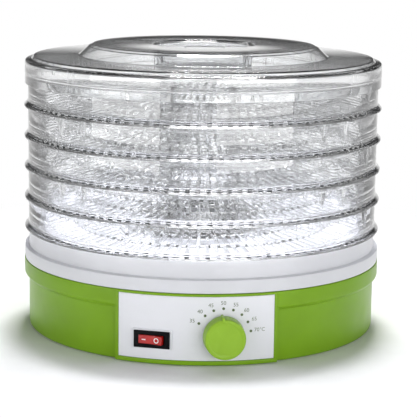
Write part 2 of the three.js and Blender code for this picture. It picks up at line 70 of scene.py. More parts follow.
# ------------------------------------------------------------------ sizes from the frame
BAND_R = -box_mm("control_panel")[0].y  # widest radius of the round base
SEAM_Z = box_mm("base_housing")[1].z  # joint between the green shell and the deck
DECK_TOP_Z = box_mm("top_deck")[1].z
DECK_LIP_R = box_mm("top_deck")[1].y
TRAY_LOW_Z = box_mm("tray_1")[0].z
TRAY_PITCH = box_mm("tray_2")[0].z - TRAY_LOW_Z
TRAY_LIP_R = box_mm("tray_1")[1].y
LID_LOW_Z, LID_TOP_Z = box_mm("lid")[0].z, box_mm("lid")[1].z
LID_R = box_mm("lid")[1].y - 0.8
PANEL_LOW_Z, PANEL_HIGH_Z = box_mm("control_panel")[0].z, box_mm("control_panel")[1].z
PLATE_LOW_Z = box_mm("bottom_plate")[0].z

GAP = 0.3  # small clearance between pieces that meet
PANEL_THICKNESS = 1.6
DECK_WALL_R = 158.2
KNOB_R = 17.8
KNOB_REACH = 14.0  # from the panel to the knob's face
KNOB_POINTER = math.radians(6)  # anticlockwise of straight up
ROCKER_TILT = math.radians(-8)
BEZEL = (15.65, 7.4)  # half width and half height of the switch frame
ROCKER = (10.4, 3.6)

JOINTS = {joint["name"]: joint for joint in frame["joints"]}
KNOB_AXIS = Vector(JOINTS["knob_turn"]["axis"])
KNOB_POINT = Vector(JOINTS["knob_turn"]["pos_m"]) / MM
KNOB_ANGLE = math.atan2(KNOB_AXIS.x, -KNOB_AXIS.y)
ROCKER_POINT = Vector(JOINTS["rocker_tilt"]["pos_m"]) / MM
SWITCH_ANGLE = math.atan2(ROCKER_POINT.x, -ROCKER_POINT.y)


# ------------------------------------------------------------------ properties
class DryerSizes(bpy.types.PropertyGroup):
    """Sizes that a user would change"""

    round_steps: IntProperty(
        name="Steps round",
        description="How many steps the large round mouldings have",
        default=160,
        min=48,
        max=360,
    )
    wall: FloatProperty(
        name="Clear wall",
        description="Thickness of the clear mouldings, in millimetres",
        default=2.0,
        min=1.0,
        max=3.0,
    )
    windows: IntProperty(
        name="Skirt windows",
        description="Small windows round the skirt under each tray's floor",
        default=76,
        min=12,
        max=120,
    )
    panel_half: FloatProperty(
        name="Panel half width",
        description="Half of the angle that the control panel spans",
        default=math.radians(23.7),
        subtype="ANGLE",
    )


class DryerColours(bpy.types.PropertyGroup):
    """Colours of the mouldings"""

    green: FloatVectorProperty(
        name="Housing green",
        description="Colour of the base housing",
        subtype="COLOR",
        size=3,
        default=(0.178, 0.345, 0.01),
    )
    knob: FloatVectorProperty(
        name="Knob green",
        description="Colour of the thermostat knob",
        subtype="COLOR",
        size=3,
        default=(0.25, 0.44, 0.022),
    )
    white: FloatVectorProperty(
        name="White",
        description="Colour of the deck and of the control panel",
        subtype="COLOR",
        size=3,
        default=(0.72, 0.73, 0.77),
    )
    clear: FloatVectorProperty(
        name="Clear tint",
        description="Tint of the clear trays and lid",
        subtype="COLOR",
        size=3,
        default=(0.96, 0.965, 0.97),
    )


def sizes():
    return bpy.context.scene.dryer_sizes


def colours():
    return bpy.context.scene.dryer_colours


# ------------------------------------------------------------------ mesh helpers
def settle():
    """Object mode with nothing selected."""
    if bpy.context.object and bpy.context.object.mode != "OBJECT":
        bpy.ops.object.mode_set(mode="OBJECT")
    bpy.ops.object.select_all(action="DESELECT")


def pick(*objects):
    settle()
    for item in objects:
        item.select_set(True)
    bpy.context.view_layer.objects.active = objects[0]


def rounded(corners, steps=4):
    """An outline of (radius, height) points from corners with an optional fillet each."""
    points = []
    count = len(corners)
    for i, corner in enumerate(corners):
        here = Vector(corner[:2])
        fillet = corner[2] if len(corner) > 2 else 0
        if not fillet:
            points.append(tuple(here))
            continue
        back = (Vector(corners[i - 1][:2]) - here).normalized()
        ahead = (Vector(corners[(i + 1) % count][:2]) - here).normalized()
        half = back.angle(ahead) / 2
        reach = fillet / math.tan(half)
        centre = here + (back + ahead).normalized() * fillet / math.sin(half)
        first = here + back * reach - centre
        last = here + ahead * reach - centre
        turn = first.angle_signed(last)
        for step in range(steps + 1):
            angle = -turn * step / steps
            c, s = math.cos(angle), math.sin(angle)
            spoke = Vector((first.x * c - first.y * s, first.x * s + first.y * c))
            points.append(tuple(centre + spoke))
    return points


def spun(name, outline, steps=None, start=0.0, sweep=math.tau):
    """Extrudes a closed outline point by point and spins it. Angles run from the front to +X."""
    settle()
    spots = [Vector((r * math.sin(start), -r * math.cos(start), z)) * MM for r, z in outline]
    bpy.ops.mesh.primitive_circle_add(vertices=3, radius=0.001, location=spots[0])
    bpy.ops.object.transform_apply(location=True)
    piece = bpy.context.object
    piece.name = name
    bpy.ops.object.mode_set(mode="EDIT")
    bpy.ops.mesh.select_all(action="SELECT")
    bpy.ops.mesh.merge(type="CENTER")
    for here, there in zip(spots, spots[1:] + spots[:1]):
        bpy.ops.mesh.extrude_region_move(TRANSFORM_OT_translate={"value": there - here})
    bpy.ops.mesh.select_all(action="SELECT")
    bpy.ops.mesh.remove_doubles(threshold=1e-6)
    bpy.ops.mesh.spin(
        steps=steps or sizes().round_steps, angle=-sweep, center=(0, 0, 0), axis=(0, 0, 1)
    )
    bpy.ops.mesh.select_all(action="SELECT")
    bpy.ops.mesh.remove_doubles(threshold=1e-6)
    if sweep < math.tau:
        bpy.ops.mesh.select_all(action="DESELECT")
        bpy.ops.mesh.select_mode(type="EDGE")
        bpy.ops.mesh.select_non_manifold()
        bpy.ops.mesh.fill_holes(sides=0)
        bpy.ops.mesh.select_mode(type="VERT")
    bpy.ops.mesh.select_all(action="SELECT")
    bpy.ops.mesh.normals_make_consistent(inside=False)
    settle()
    return piece


def lathe(name, outline, steps=48):
    """A solid whose outline starts and ends on the axis."""
    return spun(name, outline, steps)


def crate(name, low, high, bevel=0.0, segments=3):
    """A block between two corners, with bevelled edges."""
    settle()
    size = Vector(high) - Vector(low)
    centre = (Vector(high) + Vector(low)) / 2
    bpy.ops.mesh.primitive_cube_add(size=1, location=centre * MM, scale=size * MM)
    piece = bpy.context.object
    piece.name = name
    bpy.ops.object.transform_apply(location=True, rotation=True, scale=True)
    if bevel:
        bpy.ops.object.mode_set(mode="EDIT")
        bpy.ops.mesh.select_all(action="SELECT")
        bpy.ops.mesh.bevel(offset=bevel * MM, segments=segments, affect="EDGES")
        settle()
    return piece


def shift(piece, matrix):
    """Moves the mesh itself, so that the object stays at the origin."""
    piece.data.transform(matrix)
    return piece


def panel_matrix(angle, height, radius=None):
    """From a flat drawing, +Z outwards and +Y up, to its place on the round body."""
    radius = BAND_R if radius is None else radius
    spot = Vector((radius * math.sin(angle), -radius * math.cos(angle), height)) * MM
    turn = Matrix.Rotation(angle, 4, "Z") @ Matrix.Rotation(math.pi / 2, 4, "X")
    return Matrix.Translation(spot) @ turn


def wrap(piece, angle, height):
    """Bends a flat drawing, +Z outwards and +Y up, round the body."""
    for vertex in piece.data.vertices:
        x, y, z = vertex.co / MM
        turn = angle + x / BAND_R
        radius = BAND_R + z
        vertex.co = Vector((radius * math.sin(turn), -radius * math.cos(turn), height + y)) * MM
    return piece


def combine(piece, tools, operation="DIFFERENCE", solver="EXACT"):
    """Cuts or adds the tools, and removes them."""
    for tool in tools:
        modifier = piece.modifiers.new("Combine", "BOOLEAN")
        modifier.operation = operation
        modifier.solver = solver
        modifier.object = tool
        pick(piece)
        bpy.ops.object.modifier_apply(modifier=modifier.name)
        bpy.data.objects.remove(tool)
    return piece


def joined(name, objects):
    pick(*objects)
    if len(objects) > 1:
        bpy.ops.object.join()
    piece = bpy.context.view_layer.objects.active
    piece.name = name
    return piece


def duplicate(piece, matrix=None, name=None):
    """A copy with its own mesh."""
    copy = piece.copy()
    copy.data = piece.data.copy()
    bpy.context.scene.collection.objects.link(copy)
    if name:
        copy.name = name
    return shift(copy, matrix) if matrix else copy


def round_the_axis(piece, count, phase=0.0):
    """Equal copies of a piece round the upright axis, joined into one object."""
    turns = [Matrix.Rotation(math.tau * (i + phase) / count, 4, "Z") for i in range(count)]
    copies = [duplicate(piece, turn) for turn in turns]
    bpy.data.objects.remove(piece)
    return joined("ring", copies)


def soften(piece, width, segments=2, angle=40):
    """Rounds the sharp edges."""
    modifier = piece.modifiers.new("Soft edges", "BEVEL")
    modifier.width = width * MM
    modifier.segments = segments
    modifier.limit_method = "ANGLE"
    modifier.angle_limit = math.radians(angle)
    modifier.harden_normals = False
    pick(piece)
    bpy.ops.object.modifier_apply(modifier=modifier.name)
    return piece


def smooth(piece, angle=35):
    pick(piece)
    bpy.ops.object.shade_smooth_by_angle(angle=math.radians(angle))
    return piece


def finish_piece(piece, name, body, material, stands_for=(), angle=35):
    """Names, shades and paints a finished piece, and hangs it on its body."""
    smooth(piece, angle)
    piece.name = name
    piece.data.name = name
    piece.data.materials.clear()
    piece.data.materials.append(material)
    if stands_for:
        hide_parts(*stands_for)
    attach(piece, body)
    return piece


# ------------------------------------------------------------------ materials
class Nodes:
    """A short way to write a node material."""

    def __init__(self, name):
        self.material = bpy.data.materials.get(name) or bpy.data.materials.new(name)
        self.material.use_nodes = True
        self.tree = self.material.node_tree
        self.tree.nodes.clear()
        self.output = self.add("ShaderNodeOutputMaterial")
        self.shader = self.add("ShaderNodeBsdfPrincipled")
        self.coordinates = self.add("ShaderNodeTexCoord")
        self.link(self.shader.outputs["BSDF"], self.output.inputs["Surface"])

    def add(self, kind, **values):
        node = self.tree.nodes.new(kind)
        for key, value in values.items():
            if hasattr(node, key):
                setattr(node, key, value)
            else:
                node.inputs[key.replace("_", " ")].default_value = value
        return node

    def link(self, source, target):
        self.tree.links.new(source, target)

    def noise(self, scale, detail=4.0, stretch=None):
        """Noise on object coordinates, with cells of about 1/scale metres."""
        node = self.add("ShaderNodeTexNoise", Scale=scale, Detail=detail)
        source = self.coordinates.outputs["Object"]
        if stretch:
            mapping = self.add("ShaderNodeMapping", Scale=stretch)
            self.link(source, mapping.inputs["Vector"])
            source = mapping.outputs["Vector"]
        self.link(source, node.inputs["Vector"])
        return node.outputs["Fac"]

    def spread(self, source, low, high):
        """Maps noise, which sits round 0.5, to a range."""
        node = self.add("ShaderNodeMapRange")
        node.inputs["From Min"].default_value = 0.3
        node.inputs["From Max"].default_value = 0.7
        node.inputs["To Min"].default_value = low
        node.inputs["To Max"].default_value = high
        self.link(source, node.inputs["Value"])
        return node.outputs["Result"]

    def blend(self, source, first, second):
        """A colour that follows noise from one colour to another."""
        node = self.add("ShaderNodeMix", data_type="RGBA")
        node.inputs[6].default_value = (*first, 1)
        node.inputs[7].default_value = (*second, 1)
        self.link(self.spread(source, 0, 1), node.inputs[0])
        return node.outputs[2]

    def bump(self, source, depth):
        node = self.add("ShaderNodeBump", Strength=1.0, Distance=depth * MM)
        self.link(source, node.inputs["Height"])
        self.link(node.outputs["Normal"], self.shader.inputs["Normal"])

    def set(self, **values):
        for key, value in values.items():
            self.shader.inputs[key.replace("_", " ")].default_value = value


def shaded(colour, factor):
    return tuple(min(1.0, channel * factor) for channel in colour)


def moulded(name, colour, roughness=0.35, grain=900, depth=0.01, variation=0.06, coat=0.0,
            gloss=0.5):
    """Moulded plastic: faint flow marks, a fine grain and uneven gloss."""
    n = Nodes(name)
    n.link(
        n.blend(n.noise(26, 3), shaded(colour, 1 - variation), shaded(colour, 1 + variation)),
        n.shader.inputs["Base Color"],
    )
    n.link(
        n.spread(n.noise(55, 5), roughness * 0.88, roughness * 1.14), n.shader.inputs["Roughness"]
    )
    n.bump(n.noise(grain, 3), depth)
    n.set(IOR=1.5, Specular_IOR_Level=gloss, Coat_Weight=coat, Coat_Roughness=0.12)
    return n.material


def clear_plastic(name="Clear plastic"):
    """Polished clear plastic with painted shade that makes it greyer where it is seen edge on. It
    lets lamp light through.
    """
    n = Nodes(name)
    tint = tuple(colours().clear)
    # painted shade: the base colour darkens to grey where the surface is seen edge on, a painted
    # stand-in for dark reflected surroundings
    facing = n.add("ShaderNodeLayerWeight", Blend=0.5)
    edge = n.add("ShaderNodeMapRange", interpolation_type="SMOOTHSTEP")
    edge.inputs["From Min"].default_value = 0.55
    edge.inputs["From Max"].default_value = 0.85
    n.link(facing.outputs["Facing"], edge.inputs["Value"])
    shade = n.add("ShaderNodeMix", data_type="RGBA")
    n.link(edge.outputs["Result"], shade.inputs[0])
    n.link(n.blend(n.noise(12, 2), shaded(tint, 0.985), tint), shade.inputs[6])
    # painted shade colour for the edge-on parts
    shade.inputs[7].default_value = (*shaded(tint, 0.55), 1)
    n.link(shade.outputs[2], n.shader.inputs["Base Color"])
    n.link(n.spread(n.noise(40, 4), 0.015, 0.05), n.shader.inputs["Roughness"])
    n.bump(n.noise(45, 2), 0.008)
    n.set(IOR=1.49, Transmission_Weight=1.0)
    paths = n.add("ShaderNodeLightPath")
    through = n.add("ShaderNodeBsdfTransparent", Color=(0.95, 0.95, 0.955, 1))
    mix = n.add("ShaderNodeMixShader")
    n.link(paths.outputs["Is Shadow Ray"], mix.inputs[0])
    n.link(n.shader.outputs["BSDF"], mix.inputs[1])
    n.link(through.outputs["BSDF"], mix.inputs[2])
    n.link(mix.outputs["Shader"], n.output.inputs["Surface"])
    return n.material


def metal(name, colour, roughness=0.3, stretch=(1, 1, 1), scale=300, depth=0.01):
    """Bare metal with fine marks along one direction and a little staining."""
    n = Nodes(name)
    n.link(
        n.blend(n.noise(60, 4), shaded(colour, 0.85), shaded(colour, 1.1)),
        n.shader.inputs["Base Color"],
    )
    n.link(
        n.spread(n.noise(scale, 5, stretch), roughness * 0.7, roughness * 1.4),
        n.shader.inputs["Roughness"],
    )
    n.bump(n.noise(scale, 4, stretch), depth)
    n.set(Metallic=1.0)
    return n.material


def banded(name, colour, roughness, metallic, per_metre, axis="Z", depth=0.15):
    """Stacked sheets or wound wire: fine bands across one axis."""
    n = Nodes(name)
    wave = n.add("ShaderNodeTexWave", wave_type="BANDS", bands_direction=axis)
    wave.inputs["Scale"].default_value = per_metre * math.tau / 20
    wave.inputs["Distortion"].default_value = 0.4
    wave.inputs["Detail Scale"].default_value = 3.0
    n.link(n.coordinates.outputs["Object"], wave.inputs["Vector"])
    n.link(
        n.blend(wave.outputs["Fac"], shaded(colour, 0.55), shaded(colour, 1.15)),
        n.shader.inputs["Base Color"],
    )
    n.link(n.spread(n.noise(90, 4), roughness * 0.8, roughness * 1.2), n.shader.inputs["Roughness"])
    n.bump(wave.outputs["Fac"], depth)
    n.set(Metallic=metallic)
    return n.material


def speckled(name, colour, roughness=0.7, depth=0.04):
    """Fired ceramic or pressed mica: flecks and a matte, pitted face."""
    n = Nodes(name)
    n.link(
        n.blend(n.noise(420, 6), shaded(colour, 0.72), shaded(colour, 1.12)),
        n.shader.inputs["Base Color"],
    )
    n.link(
        n.spread(n.noise(120, 4), roughness * 0.85, roughness * 1.1), n.shader.inputs["Roughness"]
    )
    n.bump(n.noise(600, 5), depth)
    return n.material


# ------------------------------------------------------------------ base
BODY_R = BAND_R - 4.0
SHELL_LOW_Z = box_mm("base_housing")[0].z
BAND_LOW_Z = SEAM_Z - 15.2
FRAME_R = BAND_R + 0.2
LEDGE_Z = SEAM_Z + 12.4  # where the deck steps in to its upper wall


def base_shell():
    """Green shell: wide band above, recessed wall below, raised frame round the panel."""
    plate_room = box_mm("bottom_plate")[1].x + 0.6
    plate_top = PLATE_LOW_Z + 2.7
    band_inner = BAND_R - 2.8
    shell = spun(
        "shell",
        rounded([
            (plate_room, SHELL_LOW_Z, 0.4),
            (BODY_R, SHELL_LOW_Z, 2.4),
            (BODY_R, BAND_LOW_Z - 1.2, 0.5),
            (BODY_R + 1.5, BAND_LOW_Z - 1.0, 0.4),
            (BAND_R, BAND_LOW_Z + 2.0, 2.2),
            (BAND_R, SEAM_Z, 0.7),
            (band_inner, SEAM_Z, 0.4),
            (band_inner, BAND_LOW_Z + 2.5, 1.0),
            (BODY_R - 2.5, BAND_LOW_Z, 1.0),
            (BODY_R - 2.5, plate_top + 2.5, 1.0),
            (146, plate_top + 2.5, 0.5),
            (146, plate_top),
            (plate_room, plate_top),
        ]),
    )
    half = sizes().panel_half + math.radians(1.15)
    frame_bar = spun(
        "frame",
        rounded([
            (BODY_R - 3, SHELL_LOW_Z + 0.1),
            (FRAME_R, SHELL_LOW_Z + 0.1, 2.0),
            (FRAME_R, SEAM_Z - 0.1, 0.6),
            (band_inner - 0.1, SEAM_Z - 0.1),
            (band_inner - 0.1, BAND_LOW_Z + 2.3),
            (BODY_R - 3, BAND_LOW_Z + 2.3),
        ]),
        steps=48,
        start=-half,
        sweep=2 * half,
    )
    side = math.radians(0.1)
    seat = spun(
        "seat",
        [
            (BAND_R - 1.9, PANEL_LOW_Z - 0.25),
            (BAND_R + 9, PANEL_LOW_Z - 0.25),
            (BAND_R + 9, PANEL_HIGH_Z + 0.25),
            (BAND_R - 1.9, PANEL_HIGH_Z + 0.25),
        ],
        steps=48,
        start=-sizes().panel_half - side,
        sweep=2 * (sizes().panel_half + side),
    )
    rest = math.radians(1.5)
    window = spun(
        "window",
        [
            (BODY_R - 10, PANEL_LOW_Z + 3),
            (BAND_R + 9, PANEL_LOW_Z + 3),
            (BAND_R + 9, PANEL_HIGH_Z - 4),
            (BODY_R - 10, PANEL_HIGH_Z - 4),
        ],
        steps=24,
        start=-sizes().panel_half + rest,
        sweep=2 * (sizes().panel_half - rest),
    )
    inlet = lathe("hole", [(0, -12), (7.3, -12), (7.3, 12), (0, 12)], 40)
    hub_z = (box_mm("cord_inlet")[0].z + box_mm("cord_inlet")[1].z) / 2
    shift(inlet, Matrix.Translation(Vector((0, BODY_R, hub_z)) * MM)
          @ Matrix.Rotation(math.pi / 2, 4, "X"))
    notch = lathe("notch", rounded([(0, -7), (7, -7, 2), (7, 2), (0, 2)]), 40)
    spot = math.radians(-80)
    shift(notch, Matrix.Translation(
        Vector(((BAND_R + 5.4) * math.sin(spot), -(BAND_R + 5.4) * math.cos(spot), SEAM_Z)) * MM))
    posts = []
    for i in range(4):
        low, high = box_mm("base_screw_%d" % (i + 1))
        x, y = (low.x + high.x) / 2, (low.y + high.y) / 2
        post = lathe("post", rounded([(0, 5.6), (4.6, 5.6), (4.6, 19, 0.6), (0, 19)]), 32)
        posts.append(shift(post, Matrix.Translation(Vector((x, y, 0)) * MM)))
    combine(shell, [frame_bar], "UNION")
    combine(shell, posts, "UNION")
    combine(shell, [seat, window, inlet, notch])
    soften(shell, 0.35, 2, 60)
    green = moulded("Green plastic", colours().green, 0.33, 1100, 0.006, 0.05, gloss=0.25)
    return finish_piece(
        shell, "green_shell", "base", green, ["base_housing"], 40
    )


def deck_shell():
    """White deck: lip over the seam, ledge, upright wall, dished floor, outlet collar."""
    outlet = box_mm("outlet_grille")[1].x + 0.3
    dish = DECK_TOP_Z - 9.2
    deck = spun(
        "deck",
        rounded([
            (159.3, SEAM_Z - 6.5, 0.5),
            (159.3, SEAM_Z + GAP),
            (DECK_LIP_R, SEAM_Z + GAP, 0.5),
            (DECK_LIP_R, LEDGE_Z - 1.0, 0.4),
            (DECK_WALL_R + 0.4, LEDGE_Z, 0.5),
            (DECK_WALL_R, DECK_TOP_Z, 0.9),
            (156.2, DECK_TOP_Z, 0.6),
            (156.2, dish, 2.5),
            (150, dish - 2.5, 8),
            (outlet + 2.4, dish - 3.9, 1.2),
            (outlet + 2.4, dish - 0.5, 0.8),
            (outlet, dish - 0.5, 0.8),
            (outlet, dish - 6.1, 0.3),
            (150, dish - 4.7, 6),
            (156.4, dish - 2.9, 1),
            (157.4, SEAM_Z - 6.5, 0.5),
        ]),
    )
    white = moulded("White plastic", shaded(colours().white, 0.87), 0.36, 1000, 0.006, 0.02)
    return finish_piece(deck, "white_deck", "base", white, ["top_deck"])


def outlet_grille():
    """Grille over the fan: three rings of curved slots between spokes, and a hub."""
    low, high = box_mm("outlet_grille")
    disc = lathe(
        "grille",
        rounded([(0, low.z), (high.x, low.z, 0.4), (high.x, high.z, 0.6), (24, high.z, 1),
                 (20, high.z + 1.2, 1), (0, high.z + 1.2)]),
        120,
    )
    cutters = []
    for inner, outer, count in ((26, 36, 12), (39, 49, 18), (52, 63, 24)):
        gap = 3.0 / inner
        slot = spun(
            "slot",
            rounded([(inner, low.z - 2), (outer, low.z - 2), (outer, high.z + 2),
                     (inner, high.z + 2)]),
            steps=6,
            start=0,
            sweep=math.tau / count - gap,
        )
        cutters.append(round_the_axis(slot, count))
    combine(disc, cutters)
    soften(disc, 0.3, 1, 60)
    grey = moulded("Grey plastic", (0.09, 0.092, 0.098), 0.5, 900, 0.015, 0.1)
    return finish_piece(disc, "outlet_grille_moulding", "base", grey,
                        ["outlet_grille"])


def underside():
    """Black bottom plate with inlet slots and screw posts, and its rubber pads."""
    low, high = box_mm("bottom_plate")
    top = low.z + 2.4
    plate = lathe(
        "plate",
        rounded([(0, low.z), (20, low.z, 0.5), (22, low.z + 0.8, 0.5), (64, low.z + 0.8, 0.5),
                 (66, low.z, 0.5), (high.x, low.z, 0.6), (high.x, top, 0.4), (0, top)]),
        160,
    )
    cutters = []
    for inner, outer, count in ((26, 41, 24), (45, 60, 36)):
        slot = crate("slot", (-1.9, inner, -2), (1.9, outer, 9), 1.2, 2)
        cutters.append(round_the_axis(slot, count, 0.5))
    combine(plate, cutters)
    posts = []
    for i in range(2):
        a, b = box_mm("strap_screw_%d" % (i + 1))
        x, y = (a.x + b.x) / 2, (a.y + b.y) / 2
        outline = rounded([(1.9, top - 0.6), (5, top - 0.6), (5, 16, 0.5), (1.9, 16)])
        ring = spun("post", outline, 32)
        posts.append(shift(ring, Matrix.Translation(Vector((x, y, 0)) * MM)))
    combine(plate, posts, "UNION")
    black = moulded("Black plastic", (0.022, 0.022, 0.024), 0.48, 700, 0.03, 0.15)
    finish_piece(plate, "inlet_plate", "base", black, ["bottom_plate"])
    rubber = moulded("Black rubber", (0.028, 0.028, 0.03), 0.82, 500, 0.05, 0.2)
    for i in range(4):
        node = "foot_%d" % (i + 1)
        a, b = box_mm(node)
        pad = lathe("pad", rounded([(0, a.z + 0.5), (6, a.z + 0.5, 0.3), (7, a.z, 0.3),
                                    (9.9, a.z, 0.6), (9.9, b.z, 0.3), (0, b.z)]), 48)
        shift(pad, Matrix.Translation(Vector(((a.x + b.x) / 2, (a.y + b.y) / 2, 0)) * MM))
        finish_piece(pad, "rubber_pad_%d" % (i + 1), "base", rubber, [node])


SCREWS = {
    "base_screw": (4, -1),
    "cup_screw": (3, -1),
    "motor_screw": (2, 1),
    "strap_screw": (2, 1),
}


def screws():
    """Pan head screws with a cross recess, heads where the frame has them."""
    steel = metal("Steel", (0.6, 0.61, 0.63), 0.32)
    for kind, (count, side) in SCREWS.items():
        for i in range(count):
            node = "%s_%d" % (kind, i + 1)
            low, high = box_mm(node)
            head_r = (high.x - low.x) / 2 - 0.05
            shank_r = head_r * 0.46
            length = high.z - low.z
            screw = lathe(
                "screw",
                rounded([(0, 0), (head_r * 0.5, 0.05, 2), (head_r, 0.9, 0.5), (head_r, 2, 0.2),
                         (shank_r, 2, 0.2), (shank_r, length - 1, 0.4), (0.4, length),
                         (0, length)]),
                32,
            )
            arms = [
                crate("arm", (-head_r * 0.55, -0.35, -1), (head_r * 0.55, 0.35, 1.1)),
                crate("arm", (-0.35, -head_r * 0.55, -1), (0.35, head_r * 0.55, 1.1)),
            ]
            combine(screw, arms)
            spot = Vector(((low.x + high.x) / 2, (low.y + high.y) / 2, low.z))
            flip = Matrix.Identity(4)
            if side > 0:
                spot.z = high.z
                flip = Matrix.Rotation(math.pi, 4, "X")
            shift(screw, Matrix.Translation(spot * MM) @ flip)
            finish_piece(screw, "pan_head_" + node, "base", steel, [node])


# ------------------------------------------------------------------ controls
def control_panel():
    """Curved panel with a raised pad for the switch and a hole for the thermostat."""
    half = sizes().panel_half
    plate = spun(
        "panel",
        rounded([
            (BAND_R - PANEL_THICKNESS, PANEL_LOW_Z, 0.2),
            (BAND_R, PANEL_LOW_Z, 0.5),
            (BAND_R, PANEL_HIGH_Z, 0.5),
            (BAND_R - PANEL_THICKNESS, PANEL_HIGH_Z, 0.2),
        ]),
        steps=96,
        start=-half,
        sweep=2 * half,
    )
    spot = panel_matrix(SWITCH_ANGLE, ROCKER_POINT.z)
    pad = shift(crate("pad", (-17.2, -8.6, -1.5), (17.2, 8.6, 0.5), 0.4, 3), spot)
    opening = shift(crate("opening", (-14, -6.1, -9), (14, 6.1, 9)), spot)
    neck = lathe("neck", [(0, -9), (5.5, -9), (5.5, 9), (0, 9)], 40)
    shift(neck, panel_matrix(KNOB_ANGLE, KNOB_POINT.z))
    combine(plate, [pad], "UNION")
    combine(plate, [opening, neck])
    white = moulded("Panel plastic", colours().white, 0.42, 1300, 0.008, 0.012)
    return finish_piece(plate, "panel_plate", "base", white, ["control_panel"])


DIAL_FIRST, DIAL_STEP = 152.5, -20.55  # degrees, anticlockwise from +X as seen from the front
DIAL_R = 23.5


def dial_print():
    """Dots and temperatures printed round the knob."""
    marks = []
    for i in range(8):
        angle = math.radians(DIAL_FIRST + i * DIAL_STEP)
        c, s = math.cos(angle), math.sin(angle)
        dot = lathe("dot", [(0, 0.01), (1.2, 0.01), (1.2, 0.06), (0, 0.06)], 24)
        shift(dot, Matrix.Translation(Vector((DIAL_R * c, DIAL_R * s, 0)) * MM))
        marks.append(dot)
        settle()
        bpy.ops.object.text_add()
        label = bpy.context.object
        words = "%d" % (35 + 5 * i)
        if i == 7:
            words += "°C"
        label.data.body = words
        label.data.size = 4.6 * MM
        label.data.extrude = 0.02 * MM
        label.data.resolution_u = 3
        label.data.align_x = "LEFT" if i == 7 else "CENTER"
        label.data.align_y = "CENTER"
        bpy.ops.object.convert(target="MESH")
        label = bpy.context.object
        across = DIAL_R + (2.9 if i == 7 else 6.3)
        spot = Vector((across * c, (DIAL_R + 4.7) * s, 0.045))
        shift(label, Matrix.Translation(spot * MM))
        marks.append(label)
    print_mesh = joined("dial", marks)
    wrap(print_mesh, KNOB_ANGLE, KNOB_POINT.z)
    ink = moulded("Dial ink", (0.09, 0.13, 0.05), 0.5, 1500, 0.004, 0.1)
    return finish_piece(print_mesh, "dial_print", "base", ink)


def thermostat_knob():
    """Round green knob: drafted side with a fine edge, dished rim and a pointer rib."""
    reach, radius = KNOB_REACH, KNOB_R
    knob = lathe(
        "knob",
        rounded([
            (0, 4.6),
            (radius - 3.2, 4.6),
            (radius - 3.2, 1.6, 0.3),
            (radius, 1.6, 0.5),
            (radius - 0.7, reach, 1.2),
            (radius - 3.0, reach - 0.05, 0.5),
            (radius - 4.2, reach - 0.35, 0.5),
            (0, reach - 0.35),
        ]),
        128,
    )
    bore = lathe("bore", [(0, 0), (3.3, 0), (3.3, 10.5), (0, 10.5)], 32)
    rib = crate("rib", (-1.1, radius - 4, 2.6), (1.1, radius + 1.6, reach + 0.1), 0.5, 3)
    combine(knob, [rib], "UNION")
    combine(knob, [bore])
    pointer = Matrix.Rotation(KNOB_POINTER, 4, "Z")
    shift(knob, panel_matrix(KNOB_ANGLE, KNOB_POINT.z) @ pointer)
    green = moulded("Knob plastic", colours().knob, 0.38, 1200, 0.008, 0.04, gloss=0.3)
    return finish_piece(knob, "green_knob", "knob", green, ["thermostat_knob"])


def power_switch():
    """Black switch frame, red rocker, and the marks on it."""
    spot = panel_matrix(SWITCH_ANGLE, ROCKER_POINT.z)
    bezel = crate("bezel", (-BEZEL[0], -BEZEL[1], 0.8), (*BEZEL, 2.2), 0.55, 3)
    case = crate("case", (-13.6, -5.8, -16), (13.6, 5.8, 1.6), 0.3, 1)
    cavity = crate("cavity", (-11.2, -4.05, -9), (11.2, 4.05, 5), 0.5, 2)
    combine(bezel, [case], "UNION")
    combine(bezel, [cavity])
    shift(bezel, spot)
    black = moulded("Switch black", (0.003, 0.003, 0.004), 0.5, 900, 0.006, 0.1, gloss=0.1)
    finish_piece(bezel, "switch_frame", "base", black, ["switch_housing"])

    tilt = Matrix.Rotation(ROCKER_TILT, 4, "Y")
    pivot = spot @ Matrix.Translation(Vector((0, 0, -2)) * MM) @ tilt
    rocker = crate("rocker", (-ROCKER[0], -ROCKER[1], -3.5), (*ROCKER, 6.3))
    pick(rocker)
    bpy.ops.object.mode_set(mode="EDIT")
    bpy.ops.mesh.select_all(action="SELECT")
    bpy.ops.mesh.subdivide(number_cuts=7)
    settle()
    for vertex in rocker.data.vertices:
        x, _, z = vertex.co / MM
        if z > 6.2:
            vertex.co.z = (5.35 + 0.95 * (abs(x) / ROCKER[0]) ** 1.6) * MM
        if z < -3.4:
            vertex.co.x = x * 0.6 * MM
        elif z < 1.4:
            vertex.co.x = x * (0.6 + 0.4 * (z + 3.5) / 4.9) * MM
    soften(rocker, 0.45, 3, 50)
    shift(rocker, pivot)
    red = moulded("Red rocker", (0.4, 0.01, 0.009), 0.22, 800, 0.004, 0.15, 0.3)
    red.node_tree.nodes["Principled BSDF"].inputs["Subsurface Weight"].default_value = 0.15
    red.node_tree.nodes["Principled BSDF"].inputs["Subsurface Scale"].default_value = 0.002
    finish_piece(rocker, "red_rocker", "rocker", red, ["switch_rocker"])

    line = crate("line", (-7.6, -0.35, 5.6), (-4.2, 0.35, 5.95))
    ring = spun("ring", [(1.6, 5.6), (2.2, 5.6), (2.2, 5.95), (1.6, 5.95)], 32)
    shift(ring, Matrix.Translation(Vector((5.6, 0, 0)) * MM))
    marks = shift(joined("marks", [line, ring]), pivot)
    ink = moulded("White ink", (0.85, 0.85, 0.85), 0.5, 900, 0.004, 0.03)
    return finish_piece(marks, "rocker_marks", "rocker", ink)


# ------------------------------------------------------------------ trays and lid
SEAT_Z = DECK_TOP_Z + GAP  # shoulder of the lowest tray
WALL_R = TRAY_LIP_R - 3.5
SKIRT_R = WALL_R - 4.3
FLOOR_RINGS = ((36, 53, 36), (57, 75, 54), (79, 98, 72), (102, 122, 90), (126, 147, 108))
RIB_ANGLES = (-22, -12, 68, 78, 158, 168, 248, 258)


